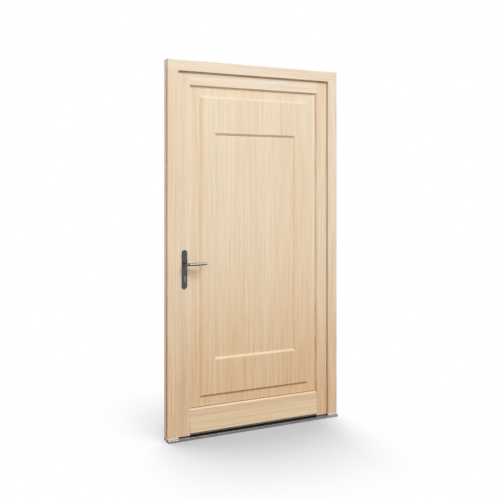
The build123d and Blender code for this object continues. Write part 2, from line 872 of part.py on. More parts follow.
def bead(name, outer_ends, band_ends, arris_ends):
    """A mitred bead between the pocket's edge and the panel, bevelled like the moulding on the street side."""
    with BuildPart() as piece:
        with BuildSketch(facing(band_back)) as root:
            Polygon(*outer_ends, *band_ends, align=None)
        with BuildSketch(facing(leaf_back)) as face:
            Polygon(*outer_ends, *arris_ends, align=None)
        loft([root.sketch.face(), face.sketch.face()], ruled=True)
    save(piece, name)


room_half = pocket_half - panel_rebate + moulding_width
room_top = pocket_top - panel_rebate + moulding_width
room_bottom = pocket_bottom + panel_rebate - moulding_width
for name, side in (("lock_side_bead", -1), ("hinge_side_bead", 1)):
    bead(
        name,
        [(side * pocket_half, pocket_bottom), (side * pocket_half, pocket_top)],
        [(side * band_half, band_top), (side * band_half, band_bottom)],
        [(side * room_half, room_top), (side * room_half, room_bottom)],
    )
for name, pocket_edge, band_edge, room_edge in (
    ("top_bead", pocket_top, band_top, room_top), ("bottom_bead", pocket_bottom, band_bottom, room_bottom),
):
    bead(
        name,
        [(-pocket_half, pocket_edge), (pocket_half, pocket_edge)],
        [(band_half, band_edge), (-band_half, band_edge)],
        [(room_half, room_edge), (-room_half, room_edge)],
    )

# Hinges: the frame half carries the pin, a washer lies on it, the leaf half turns on both
for hinge_name, hinge_height in hinge_heights.items():
    lower_top = hinge_height - washer_thick / 2
    upper_bottom = hinge_height + washer_thick / 2
    with BuildPart() as frame_half:
        rod((hinge_x, hinge_y, lower_top - barrel_length), (hinge_x, hinge_y, lower_top), barrel_radius)
        fillet(frame_half.edges().group_by(Axis.Z)[0], barrel_round)
        for stud_height in stud_heights(hinge_height):
            frame_stud_end = (hinge_x, hinge_y - frame_stud_reach, stud_height)
            rod((hinge_x, hinge_y, stud_height), frame_stud_end, stud_radius)
        rod(
            (hinge_x, hinge_y, lower_top - hinge_pin_reach), (hinge_x, hinge_y, lower_top),
            hinge_pin_radius, Mode.SUBTRACT,
        )
    save(frame_half, f"{hinge_name}_frame_half")

    with BuildPart() as hinge_pin:
        rod(
            (hinge_x, hinge_y, lower_top - hinge_pin_reach), (hinge_x, hinge_y, upper_bottom + hinge_pin_reach),
            hinge_pin_radius,
        )
        chamfer(hinge_pin.edges().group_by(Axis.Z)[-1], barrel_round)
    save(hinge_pin, f"{hinge_name}_pin")

    with BuildPart() as washer:
        rod((hinge_x, hinge_y, lower_top), (hinge_x, hinge_y, upper_bottom), barrel_radius)
        rod(
            (hinge_x, hinge_y, lower_top), (hinge_x, hinge_y, upper_bottom),
            hinge_pin_radius + running_clearance, Mode.SUBTRACT,
        )
    save(washer, f"{hinge_name}_washer")

    with BuildPart() as leaf_half_barrel:
        rod((hinge_x, hinge_y, upper_bottom), (hinge_x, hinge_y, upper_bottom + barrel_length), barrel_radius)
        fillet(leaf_half_barrel.edges().group_by(Axis.Z)[-1], barrel_round)
        for stud_height in leaf_stud_heights(hinge_height):
            leaf_stud(stud_height)
        rod(
            (hinge_x, hinge_y, upper_bottom), (hinge_x, hinge_y, upper_bottom + hinge_pin_reach + hole_slack),
            hinge_pin_radius + running_clearance, Mode.SUBTRACT,
        )
    save(leaf_half_barrel, f"{hinge_name}_leaf_half")

# Lock case: a thin steel box open at the faceplate, with holes for the follower's hub and the cylinder
with BuildPart() as lock_case:
    block(
        (case_front, lock_y - case_thick / 2, case_bottom), (case_back, lock_y + case_thick / 2, case_top)
    )
    block(
        (case_front - overrun, lock_y - case_thick / 2 + case_wall, case_bottom + case_wall),
        (case_back - case_wall, lock_y + case_thick / 2 - case_wall, case_top - case_wall),
        Mode.SUBTRACT,
    )
    with BuildSketch(facing(lock_y + case_thick / 2)):
        euro_profile(cylinder_clearance)
        with Locations((handle_x, lever_height)):
            Circle(follower_hub_radius + running_clearance)
    extrude(amount=case_thick, mode=Mode.SUBTRACT)
save(lock_case, "lock_case")

edge_screws = [(height, face_screw_radius) for height in face_screw_heights]
edge_screws.append((cylinder_screw_height, cylinder_screw_radius))


def edge_screw(height, end, radius, mode=Mode.ADD):
    """A countersunk screw driven into the edge of the leaf, or the hole for it."""
    cone(
        (-leaf_half, lock_y, height), (screw_head_depth - leaf_half, lock_y, height),
        screw_head_radius, radius, mode,
    )
    rod((screw_head_depth - leaf_half, lock_y, height), (end, lock_y, height), radius, mode)


# Faceplate: let into the edge of the leaf, with openings for both bolts and the screws
with BuildPart() as lock_faceplate:
    with BuildSketch(Plane.YZ.offset(-leaf_half)):
        with Locations((lock_y, lock_mid)):
            Rectangle(faceplate_width, faceplate_height)
        for middle, height in ((latch_height_mid, latch_height), (deadbolt_mid, deadbolt_height)):
            with Locations((lock_y, middle)):
                Rectangle(bolt_thick + bolt_clearance * 2, height + bolt_clearance * 2, mode=Mode.SUBTRACT)
    extrude(amount=faceplate_thick)
    for screw_height, screw_radius in edge_screws:
        edge_screw(screw_height, case_front, screw_radius, Mode.SUBTRACT)
save(lock_faceplate, "lock_faceplate")


with BuildPart() as faceplate_screws:
    for screw_height in face_screw_heights:
        edge_screw(screw_height, face_screw_length - leaf_half, face_screw_radius)
save(faceplate_screws, "faceplate_screws")

with BuildPart() as cylinder_screw:
    edge_screw(cylinder_screw_height, handle_x + cylinder_screw_past, cylinder_screw_radius)
save(cylinder_screw, "cylinder_screw")

# Latch bolt: sprung head with a bevel to the street, and a tail with a lug behind the follower's arm
bolt_low = lock_y - bolt_thick / 2
bolt_high = lock_y + bolt_thick / 2
latch_back = -leaf_half + latch_body
lug_front = handle_x + arm_width / 2 + lug_gap
tail_top = latch_height_mid + latch_height / 2 - bolt_clearance
with BuildPart() as latch_bolt:
    with BuildSketch(Plane.XY.offset(latch_height_mid - latch_height / 2)):
        Polygon(
            (latch_tip, bolt_high), (latch_tip, bolt_high - latch_nose), (latch_tip + latch_bevel, bolt_low),
            (latch_back, bolt_low), (latch_back, bolt_high), align=None,
        )
    extrude(amount=latch_height)
    block(
        (latch_back, lock_y - tail_thick / 2, tail_top - tail_height),
        (lug_front + lug_thick, lock_y + tail_thick / 2, tail_top),
    )
    block(
        (lug_front, lock_y - tail_thick / 2, tail_top - tail_height - lug_drop),
        (lug_front + lug_thick, lock_y + tail_thick / 2, tail_top - tail_height),
    )
save(latch_bolt, "latch_bolt")

# Deadbolt: drawn back flush with the faceplate at rest
with BuildPart() as deadbolt:
    block(
        (-leaf_half, bolt_low, deadbolt_mid - deadbolt_height / 2),
        (deadbolt_length - leaf_half, bolt_high, deadbolt_mid + deadbolt_height / 2),
    )
    chamfer(deadbolt.edges().group_by(Axis.X)[0], bolt_clearance)
save(deadbolt, "deadbolt")

# Follower: the hub that the spindle turns, with the arm that pushes the latch bolt's lug
with BuildPart() as lock_follower:
    rod((handle_x, bolt_low, lever_height), (handle_x, bolt_high, lever_height), follower_radius)
    rod(
        (handle_x, lock_y - case_thick / 2, lever_height), (handle_x, lock_y + case_thick / 2, lever_height),
        follower_hub_radius,
    )
    block(
        (handle_x - arm_width / 2, lock_y - tail_thick / 2, lever_height),
        (handle_x + arm_width / 2, lock_y + tail_thick / 2, lever_height + arm_reach),
    )
    socket_half = spindle_side / 2 + spindle_clearance
    block(
        (handle_x - socket_half, lock_y - case_thick, lever_height - socket_half),
        (handle_x + socket_half, lock_y + case_thick, lever_height + socket_half),
        Mode.SUBTRACT,
    )
save(lock_follower, "lock_follower")

# Cylinder body: profile bar bored for both plugs and cut away round the cam
cylinder_front = outer_plate_face - cylinder_proud
cylinder_back = inner_plate_face + cylinder_proud
cam_space = cam_width / 2 + cam_side_clearance
with BuildPart() as cylinder_body:
    with BuildSketch(facing(cylinder_back)):
        euro_profile()
        with Locations((handle_x, cylinder_height)):
            Circle(plug_radius + running_clearance, mode=Mode.SUBTRACT)
    extrude(amount=cylinder_back - cylinder_front)
    rod(
        (handle_x, lock_y - cam_space, cylinder_height), (handle_x, lock_y + cam_space, cylinder_height),
        cam_radius + cam_clearance, Mode.SUBTRACT,
    )
    rod(
        (handle_x - profile_radius, lock_y, cylinder_screw_height),
        (handle_x + profile_radius, lock_y, cylinder_screw_height),
        cylinder_screw_radius, Mode.SUBTRACT,
    )
save(cylinder_body, "cylinder_body")


def plug(outer_end, inner_end, name):
    """A key plug with an upright keyway cut in from its outer end."""
    with BuildPart() as piece:
        rod((handle_x, outer_end, cylinder_height), (handle_x, inner_end, cylinder_height), plug_radius)
        with Locations((handle_x, outer_end, cylinder_height)):
            Box(keyway_width, keyway_depth * 2, keyway_height, mode=Mode.SUBTRACT)
    save(piece, name)


plug(cylinder_front, lock_y - cam_width / 2, "outer_plug")
plug(cylinder_back, lock_y + cam_width / 2 + plug_gap, "inner_plug")

# Cam: turns with the outer plug, its tongue hanging straight down when the key is out
with BuildPart() as cylinder_cam:
    with BuildSketch(facing(lock_y + cam_width / 2)):
        with Locations((handle_x, cylinder_height)):
            Circle(cam_hub_radius)
        with Locations((handle_x, cylinder_height - (cam_radius - cam_tongue / 2) / 2)):
            Rectangle(cam_tongue, cam_radius - cam_tongue / 2)
        with Locations((handle_x, cylinder_height - cam_radius + cam_tongue / 2)):
            Circle(cam_tongue / 2)
    extrude(amount=cam_width)
save(cylinder_cam, "cylinder_cam")


def backplate(face, room_side):
    """A long handle plate with round ends, bored for the lever bush and cut for the cylinder."""
    seat = leaf_back if room_side else leaf_front
    with BuildPart() as piece:
        with BuildSketch(facing(max(seat, face))):
            with Locations((handle_x, plate_mid)):
                SlotOverall(plate_height, plate_width, rotation=90)
        extrude(amount=plate_thick)
        rim = piece.faces().sort_by(Axis.Y)[-1 if room_side else 0]
        fillet(rim.edges(), plate_round)
        with BuildSketch(facing(max(seat, face) + overrun)):
            euro_profile(cylinder_clearance)
            with Locations((handle_x, lever_height)):
                Circle(bush_radius)
        extrude(amount=plate_thick + overrun * 2, mode=Mode.SUBTRACT)
        for height in plate_screw_heights:
            bite_end = face if room_side else seat - plate_screw_bite
            rod((handle_x, seat, height), (handle_x, bite_end, height), plate_screw_radius, Mode.SUBTRACT)
            if room_side:
                cone(
                    (handle_x, face, height), (handle_x, face - plate_head_depth, height),
                    plate_head_radius, plate_screw_radius, Mode.SUBTRACT,
                )
    return piece


save(backplate(outer_plate_face, False), "outer_backplate")
save(backplate(inner_plate_face, True), "inner_backplate")

with BuildPart() as backplate_screws:
    for height in plate_screw_heights:
        cone(
            (handle_x, inner_plate_face, height), (handle_x, inner_plate_face - plate_head_depth, height),
            plate_head_radius, plate_screw_radius,
        )
        rod(
            (handle_x, inner_plate_face - plate_head_depth, height),
            (handle_x, leaf_front - plate_screw_bite, height),
            plate_screw_radius,
        )
save(backplate_screws, "backplate_screws")

# Lever bush: a flanged ring in the plate that the neck of the lever turns in
with BuildPart() as outer_lever_bush:
    rod((handle_x, leaf_front, lever_height), (handle_x, outer_plate_face, lever_height), bush_radius)
    rod(
        (handle_x, outer_plate_face, lever_height), (handle_x, outer_plate_face - bush_flange, lever_height),
        bush_flange_radius,
    )
    fillet(outer_lever_bush.edges().group_by(Axis.Y)[0], bush_round)
    rod(
        (handle_x, leaf_front, lever_height), (handle_x, outer_plate_face - bush_flange, lever_height),
        neck_radius + running_clearance, Mode.SUBTRACT,
    )
save(outer_lever_bush, "outer_lever_bush")

with BuildPart() as inner_lever_bush:
    mirror(outer_lever_bush.part, about=facing(leaf_mid))
save(inner_lever_bush, "inner_lever_bush")

# Lever: a round neck out of the plate, an elbow, and a grip that thins and lifts towards its tip
grip_line = outer_plate_face - neck_reach
elbow_start = grip_line + elbow_radius
elbow_end = handle_x + elbow_radius
grip_end = handle_x + grip_reach
grip_length = grip_end - elbow_end
grub_place = (outer_plate_face - bush_flange + elbow_start) / 2
with BuildPart() as outer_lever:
    with BuildLine() as neck_path:
        Line((handle_x, leaf_front, lever_height), (handle_x, elbow_start, lever_height))
        TangentArc(
            (handle_x, elbow_start, lever_height), (elbow_end, grip_line, lever_height), tangent=(0, -1, 0)
        )
    with BuildSketch(Plane((handle_x, leaf_front, lever_height), z_dir=(0, -1, 0))):
        Circle(neck_radius)
    sweep()
    grip_sections = []
    for share in grip_shares:
        middle = (elbow_end + grip_length * share, grip_line, lever_height + grip_rise * share**2)
        slope = (grip_length, 0, grip_rise * share * 2)
        with BuildSketch(Plane(middle, z_dir=slope), mode=Mode.PRIVATE) as grip_section:
            Circle(neck_radius + (tip_radius - neck_radius) * share)
        grip_sections.append(grip_section.sketch.face())
    loft(grip_sections)
    fillet(outer_lever.faces().sort_by(Axis.X)[-1].edges(), tip_round)
    block(
        (handle_x - socket_half, leaf_front - socket_reach, lever_height - socket_half),
        (handle_x + socket_half, leaf_front, lever_height + socket_half),
        Mode.SUBTRACT,
    )
    rod(
        (handle_x, grub_place, lever_height - neck_radius - overrun), (handle_x, grub_place, lever_height),
        grub_radius, Mode.SUBTRACT,
    )
save(outer_lever, "outer_lever")

with BuildPart() as inner_lever:
    mirror(outer_lever.part, about=facing(leaf_mid))
save(inner_lever, "inner_lever")

# Spindle: a square bar from socket to socket through the follower
with BuildPart() as spindle:
    block(
        (handle_x - spindle_side / 2, leaf_front - socket_reach, lever_height - spindle_side / 2),
        (handle_x + spindle_side / 2, leaf_back + socket_reach, lever_height + spindle_side / 2),
    )
save(spindle, "spindle")

with BuildPart() as lever_grub_screws:
    grub_top = lever_height - spindle_side / 2
    for place in (grub_place, leaf_mid * 2 - grub_place):
        rod((handle_x, place, grub_top - grub_length), (handle_x, place, grub_top), grub_radius)
save(lever_grub_screws, "lever_grub_screws")
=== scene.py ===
# %% [markdown]
# # A panelled pine front door in its frame
# The solids of this door come from a CAD file and stand at the origin, in metres: X across the doorway,
# Y from the street into the room, Z up. This lesson gives them their finishes, swaps the plain screws for
# screws with a driver recess, and sets the light and the camera. The first cell loads the solids.

# %% Load the door
import json
import math

import bmesh
import bpy
from mathutils import Matrix, Vector


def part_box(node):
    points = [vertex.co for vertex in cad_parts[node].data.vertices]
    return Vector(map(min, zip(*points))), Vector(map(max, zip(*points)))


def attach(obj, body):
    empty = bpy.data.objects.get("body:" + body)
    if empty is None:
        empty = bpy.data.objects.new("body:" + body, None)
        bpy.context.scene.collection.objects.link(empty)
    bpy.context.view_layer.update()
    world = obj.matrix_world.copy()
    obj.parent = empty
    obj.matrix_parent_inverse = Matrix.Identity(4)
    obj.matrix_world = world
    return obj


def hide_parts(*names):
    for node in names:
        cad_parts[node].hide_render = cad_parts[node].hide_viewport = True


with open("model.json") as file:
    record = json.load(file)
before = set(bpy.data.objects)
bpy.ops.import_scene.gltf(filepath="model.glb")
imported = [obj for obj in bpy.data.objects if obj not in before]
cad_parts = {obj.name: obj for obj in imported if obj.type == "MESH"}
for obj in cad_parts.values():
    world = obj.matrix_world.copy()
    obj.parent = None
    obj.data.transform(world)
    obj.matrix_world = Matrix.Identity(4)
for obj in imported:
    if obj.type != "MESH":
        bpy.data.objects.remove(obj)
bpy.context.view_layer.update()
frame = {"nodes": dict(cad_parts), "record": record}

nodes = frame["nodes"]
scene = bpy.context.scene

# %% [markdown]
# ## Camera
# The upright edges of the door stay parallel in the picture, as in a picture of a building. A camera that is
# tilted down would see the floor but make the jambs lean, so this one looks level and its lens is shifted
# down instead. The yaw and the distance follow from how much the head slopes.

# %% Place the camera
camera_place = Vector((-1.708, -3.551, 1.360))
camera_yaw = math.radians(-25.1)
lens_shift = -0.1218
view_data = bpy.data.cameras.new("front_view")
view_data.lens = 50.0
view_data.sensor_width = 36.0
view_data.shift_y = lens_shift
camera = bpy.data.objects.new("front_view", view_data)
camera.location = camera_place
camera.rotation_euler = (math.pi / 2, 0.0, camera_yaw)
scene.collection.objects.link(camera)
scene.camera = camera
scene.view_settings.view_transform = "Standard"
print("camera", tuple(round(v, 3) for v in camera.location), "lens", view_data.lens)

# %% [markdown]
# ## Helpers for materials
# Materials could be drawn by hand in the shader editor, but written in code they come out the same on every
# run. A few small helpers save repetition: one makes a node and sets its sockets, one joins two sockets, and
# one starts a node group with named sockets on both sides.

# %% Helpers for node trees
vector_socket, colour_socket, number_socket = "NodeSocketVector", "NodeSocketColor", "NodeSocketFloat"
surface_outputs = [("Color", colour_socket), ("Roughness", number_socket), ("Height", number_socket)]


def node(tree, kind, settings=None, values=None):
    """A node of one kind, with its properties and its input sockets set."""
    made = tree.nodes.new(kind)
    for name, value in (settings or {}).items():
        setattr(made, name, value)
    for name, value in (values or {}).items():
        made.inputs[name].default_value = value
    return made


def join(tree, source, target):
    """A link from an output socket to an input socket."""
    tree.links.new(source, target)


def start_group(name, inputs):
    """A shader node group with its sockets, and its input and output nodes."""
    tree = bpy.data.node_groups.new(name, "ShaderNodeTree")
    for label, kind, value in inputs:
        socket = tree.interface.new_socket(label, in_out="INPUT", socket_type=kind)
        if value is not None:
            socket.default_value = value
    for label, kind in surface_outputs:
        tree.interface.new_socket(label, in_out="OUTPUT", socket_type=kind)
    return tree, node(tree, "NodeGroupInput"), node(tree, "NodeGroupOutput")


print("every group puts out", [label for label, kind in surface_outputs])

# %% [markdown]
# The patterns of wood, metal and plastic are made of the same few steps: noise that is drawn out in one
# direction, a span of values that is moved, a sum, and colours that are mixed. Each step has a helper of its
# own, so that the groups further down read as a list of steps. A Mix node carries sockets for several kinds
# of data under the same names, so its colour sockets are found by their numbers.

# %% Helpers for patterns
mix_first, mix_second, mix_result = 6, 7, 2


def scaled_noise(tree, place, stretch, detail, roughness):
    """Noise that is drawn out by a different scale on each axis."""
    scale = node(tree, "ShaderNodeVectorMath", {"operation": "MULTIPLY"}, {1: stretch})
    noise = node(tree, "ShaderNodeTexNoise", None, {"Scale": 1.0, "Detail": detail, "Roughness": roughness})
    join(tree, place, scale.inputs[0])
    join(tree, scale.outputs["Vector"], noise.inputs["Vector"])
    return noise.outputs["Fac"]


def remap(tree, value, span, to=(0.0, 1.0)):
    """A value moved from one span to another with soft ends."""
    made = node(tree, "ShaderNodeMapRange", {"interpolation_type": "SMOOTHSTEP"},
                {"From Min": span[0], "From Max": span[1], "To Min": to[0], "To Max": to[1]})
    join(tree, value, made.inputs["Value"])
    return made.outputs["Result"]


def math_node(tree, operation, first, second=None):
    """One sum on sockets or plain numbers."""
    made = node(tree, "ShaderNodeMath", {"operation": operation})
    for slot, value in enumerate((first, second)):
        if isinstance(value, (int, float)):
            made.inputs[slot].default_value = value
        elif value is not None:
            join(tree, value, made.inputs[slot])
    return made.outputs["Value"]


def blend_colour(tree, factor, first, second):
    """Two colours mixed by a varying factor."""
    made = node(tree, "ShaderNodeMix", {"data_type": "RGBA"})
    join(tree, factor, made.inputs["Factor"])
    join(tree, first, made.inputs[mix_first])
    join(tree, second, made.inputs[mix_second])
    return made.outputs[mix_result]


def tint_colour(tree, amount, colour, tint):
    """A colour multiplied by a tint, as far as a varying amount says."""
    made = node(tree, "ShaderNodeMix", {"data_type": "RGBA", "blend_type": "MULTIPLY"}, {mix_second: tint})
    join(tree, amount, made.inputs["Factor"])
    join(tree, colour, made.inputs[mix_first])
    return made.outputs[mix_result]


print("colour sockets of a Mix node", mix_first, mix_second, "and", mix_result)

# %% [markdown]
# ## Growth rings
# Each board is sawn from a log, so its lines are growth rings cut lengthwise: pale early wood that ripens
# to a thin amber line and then starts pale again. An image would repeat and could not follow each board,
# so the rings are counted outwards from the log's heart, which runs beside the board. Slow noise makes them
# wander by some rings and fine noise frays their edges.

# %% Rings round the log's heart
rings_per_metre = 190.0
ring_wander, ring_fray = 11.0, 1.1
ripe_from, ripe_at = 0.25, 0.9


def ripe_wood(tree, place, wander, streaks):
    """How ripe the wood is at a place: 0 in early wood, 1 in the late line of each ring."""
    across = node(tree, "ShaderNodeVectorMath", {"operation": "MULTIPLY"}, {1: (1.0, 1.0, 0.0)})
    reach = node(tree, "ShaderNodeVectorMath", {"operation": "LENGTH"})
    join(tree, place, across.inputs[0])
    join(tree, across.outputs["Vector"], reach.inputs[0])
    rings = math_node(tree, "MULTIPLY", reach.outputs["Value"], rings_per_metre)
    rings = math_node(tree, "ADD", rings, math_node(tree, "MULTIPLY", wander, ring_wander))
    rings = math_node(tree, "ADD", rings, math_node(tree, "MULTIPLY", streaks, ring_fray))
    phase = math_node(tree, "FRACT", rings)
    ripening = remap(tree, phase, (ripe_from, ripe_at))
    ending = remap(tree, phase, (ripe_at, 1.0), to=(1.0, 0.0))
    return math_node(tree, "MULTIPLY", ripening, ending)


print("rings are", round(1000.0 / rings_per_metre, 1), "mm wide")

# %% [markdown]
# ## Pine grain
# Pine shows more than rings: broad bands of warmer tone, hair-thin streaks and fine fibres, which all run
# along the board. The group also takes a value from 0 to 1 that paints shade into the colour, darker and
# warmer, and makes the rings stronger. A cut across the fibres, as on the sloping ends of a raised field,
# drinks more varnish and goes darker. All this could be built in each material anew, but every board uses it
# with its own values, so it is one group.

# %% Group for pine grain
# The first tint below is painted shade: it makes the wood darker and warmer towards the floor.
painted_shade_tint = (0.935, 0.83, 0.71, 1.0)
end_grain_tint = (0.87, 0.86, 0.85, 1.0)
ring_contrast_high_up, ring_contrast_near_floor = 0.9, 1.7
band_span, hair_span, fibre_span = (0.38, 0.66), (0.44, 0.66), (0.3, 0.7)
satin = (0.40, 0.52)


def make_pine_grain():
    tree, given, put = start_group("pine_grain", [
        ("Vector", vector_socket, None), ("Early Wood", colour_socket, None),
        ("Late Wood", colour_socket, None), ("Warm Streak", colour_socket, None),
        ("Ring Strength", number_socket, 0.5), ("Streak Strength", number_socket, 0.5),
        ("Age", number_socket, 0.0), ("End Grain", number_socket, 0.0)])
    place, painted_shade_and_rings = given.outputs["Vector"], given.outputs["Age"]
    broad = scaled_noise(tree, place, stretch=(10.0, 10.0, 0.4), detail=2.0, roughness=0.5)
    wander = scaled_noise(tree, place, stretch=(6.0, 6.0, 0.6), detail=1.0, roughness=0.5)
    streaks = scaled_noise(tree, place, stretch=(230.0, 230.0, 2.2), detail=4.0, roughness=0.7)
    fibres = scaled_noise(tree, place, stretch=(620.0, 620.0, 9.0), detail=2.0, roughness=0.6)
    ripe = ripe_wood(tree, place, wander, streaks)

    tone = math_node(tree, "MULTIPLY", remap(tree, broad, band_span), given.outputs["Streak Strength"])
    contrast = math_node(tree, "MULTIPLY", given.outputs["Ring Strength"],
                         remap(tree, painted_shade_and_rings, (0.0, 1.0), to=(ring_contrast_high_up, ring_contrast_near_floor)))
    line = math_node(tree, "MULTIPLY", ripe, contrast)
    hair = math_node(tree, "MULTIPLY", remap(tree, streaks, hair_span), contrast)
    wood = blend_colour(tree, tone, given.outputs["Early Wood"], given.outputs["Warm Streak"])
    wood = blend_colour(tree, line, wood, given.outputs["Late Wood"])
    wood = blend_colour(tree, hair, wood, given.outputs["Late Wood"])
    # Painted shade: the wood turns darker and warmer where the floor is near.
    wood = tint_colour(tree, painted_shade_and_rings, wood, painted_shade_tint)
    wood = tint_colour(tree, given.outputs["End Grain"], wood, end_grain_tint)
    join(tree, wood, put.inputs["Color"])
    join(tree, remap(tree, fibres, fibre_span, to=satin), put.inputs["Roughness"])
    join(tree, math_node(tree, "ADD", ripe, fibres), put.inputs["Height"])
    return tree


pine_grain = make_pine_grain()
print("group", pine_grain.name, "with", len(pine_grain.nodes), "nodes")

# %% [markdown]
# ## Starting a material
# Colours are easiest to judge as a screen shows them, from 0 to 255, but shaders reckon with the light that
# a surface sends back. They could be typed in as such, but then nobody could read them, so one helper turns
# the first kind into the second. Another one starts a material and hands over its tree and its shader.

# %% Colours and new materials
def linear(red, green, blue):
    """A colour given as a screen shows it, 0 to 255, in the linear values that shaders use (sRGB rule)."""
    shares = [value / 255.0 for value in (red, green, blue)]
    return (*[s / 12.92 if s <= 0.04045 else ((s + 0.055) / 1.055) ** 2.4 for s in shares], 1.0)


def start_material(name):
    """A material with its node tree and its shader."""
    made = bpy.data.materials.new(name)
    made.use_nodes = True
    return made, made.node_tree, made.node_tree.nodes["Principled BSDF"]


print("a screen's middle grey sends back", round(linear(128, 128, 128)[0], 3), "of the light")

# %% [markdown]
# ## One board, one material
# A joiner sorts boards by tone but never gets two alike. One material for all of them would carry its lines
# straight across the joints, so each board has its own from the same group: the grain runs along the board,
# the log's heart lies in another place, and the tone differs a little. A Mapping node turns the pattern so
# that its length follows X for rails and Z for stiles, and the height above the floor sets how much painted
# shade, darker and warmer, and how much ring contrast the wood gets.

# %% Varnished pine
along_z = (0.0, 0.0, 0.0)
along_x = (0.0, -math.pi / 2, 0.0)
# Painted shade, darker and warmer, and stronger rings grow from the first height down to the second.
shade_and_rings_from, shade_and_rings_full = 1.2, 0.0
ring_strength = 0.43


def pine_board(name, tones, turn, heart, painted_shade_and_rings=1.0, streak_strength=0.8):
    """Satin varnished pine with its grain turned along the board."""
    made, tree, shader = start_material(name)
    early, late, warm = tones
    place = node(tree, "ShaderNodeTexCoord")
    turned = node(tree, "ShaderNodeMapping", None, {"Location": heart, "Rotation": turn})
    upright = node(tree, "ShaderNodeSeparateXYZ")
    facing = node(tree, "ShaderNodeMapping", {"vector_type": "VECTOR"}, {"Rotation": turn})
    along = node(tree, "ShaderNodeSeparateXYZ")
    grain = node(tree, "ShaderNodeGroup", {"node_tree": pine_grain},
                 {"Early Wood": linear(*early), "Late Wood": linear(*late), "Warm Streak": linear(*warm),
                  "Ring Strength": ring_strength, "Streak Strength": streak_strength})
    bump = node(tree, "ShaderNodeBump", None, {"Strength": 0.12, "Distance": 0.0003})
    join(tree, place.outputs["Object"], turned.inputs["Vector"])
    join(tree, place.outputs["Object"], upright.inputs["Vector"])
    join(tree, remap(tree, upright.outputs["Z"], (shade_and_rings_from, shade_and_rings_full), to=(0.0, painted_shade_and_rings)), grain.inputs["Age"])
    join(tree, place.outputs["Normal"], facing.inputs["Vector"])
    join(tree, facing.outputs["Vector"], along.inputs["Vector"])
    join(tree, math_node(tree, "ABSOLUTE", along.outputs["Z"]), grain.inputs["End Grain"])
    join(tree, turned.outputs["Vector"], grain.inputs["Vector"])
    join(tree, grain.outputs["Color"], shader.inputs["Base Color"])
    join(tree, grain.outputs["Roughness"], shader.inputs["Roughness"])
    join(tree, grain.outputs["Height"], bump.inputs["Height"])
    join(tree, bump.outputs["Normal"], shader.inputs["Normal"])
    shader.inputs["Specular IOR Level"].default_value = 0.35
    shader.inputs["Coat Weight"].default_value = 0.08
    shader.inputs["Coat Roughness"].default_value = 0.25
    return made


# The printed heights are where the painted shade and the stronger rings begin and where they are full.
print("wood ages from", shade_and_rings_from, "m down to", shade_and_rings_full, "m above the floor")

# %% [markdown]
# The boards could be written out one by one, but a joiner's cutting list shows at a glance what differs: the
# tones, the direction of the grain and the place of the log's heart. The three tones are early wood, late
# wood and warm streak. The bottom rail and the weatherboard get less painted shade and weaker rings than
# the stiles beside them, and the bands of tone on the wide panels are calm.

# %% Pine for each board
pine_tones = {
    "jamb": ((238, 234, 218), (203, 177, 144), (234, 221, 199)),
    "head": ((238, 235, 222), (204, 181, 149), (235, 225, 207)),
    "stile": ((237, 229, 210), (202, 174, 137), (232, 217, 192)),
    "leaf": ((240, 236, 223), (205, 183, 151), (235, 226, 207)),
    "panel": ((238, 233, 215), (205, 180, 144), (234, 216, 190)),
    "rail": ((239, 233, 217), (203, 179, 147), (232, 221, 201)),
    "board": ((243, 240, 224), (211, 190, 156), (238, 229, 208)),
}
# The bottom rail and the weatherboard get less of the painted shade and of the stronger rings.
less_shade_and_rings, calm = {"painted_shade_and_rings": 0.7}, {"streak_strength": 0.5}
cutting_list = {
    "lock_jamb": ("jamb", along_z, (0.74, 0.06, 0.3), {}),
    "hinge_jamb": ("jamb", along_z, (-0.31, 0.09, 1.7), {}),
    "head": ("head", along_x, (2.21, 0.05, 4.9), {}),
    "lock_stile": ("leaf", along_z, (0.62, -0.12, 2.2), {}),
    "hinge_stile": ("stile", along_z, (-0.21, 0.11, 4.1), {}),
    "top_rail": ("leaf", along_x, (2.12, 0.07, 3.3), {}),
    "bottom_rail": ("rail", along_x, (0.31, 0.08, 5.2), less_shade_and_rings),
    "weatherboard": ("board", along_x, (0.22, -0.05, 1.4), less_shade_and_rings),
    "outer_panel": ("panel", along_z, (0.66, 0.03, 26.8), calm),
    "inner_panel": ("panel", along_z, (-0.71, -0.02, 8.0), calm),
    "lock_side_bead": ("leaf", along_z, (0.57, 0.02, 7.1), {}),
    "hinge_side_bead": ("leaf", along_z, (-0.3, 0.03, 9.4), {}),
    "top_bead": ("leaf", along_x, (2.02, 0.02, 2.9), {}),
    "bottom_bead": ("leaf", along_x, (0.24, 0.02, 6.6), {}),
}
boards = {name: pine_board("pine_" + name, pine_tones[tones], turn, heart, **state)
          for name, (tones, turn, heart, state) in cutting_list.items()}
print("pine boards", len(boards))

# %% [markdown]
# ## Metal and plastic surfaces
# The threshold is drawn aluminium, so fine scratches run along it; the lock plates are brushed steel; the
# handle plate is satin graphite and the lever is polished. An anisotropic shader could blur their shine in
# one direction, but fine lines in roughness and height are seen close up as well. So metals get a group with
# lines, and moulded plastic and rubber get one with a fine grain. Both have the same sockets, so they share
# their beginning and their end.

# %% Beginning and end of a surface group
def start_skin(name, smooth, rough):
    """A group with the sockets that metals and plastics share."""
    return start_group(name, [
        ("Vector", vector_socket, None), ("Clean", colour_socket, None), ("Worn", colour_socket, None),
        ("Smooth", number_socket, smooth), ("Rough", number_socket, rough)])


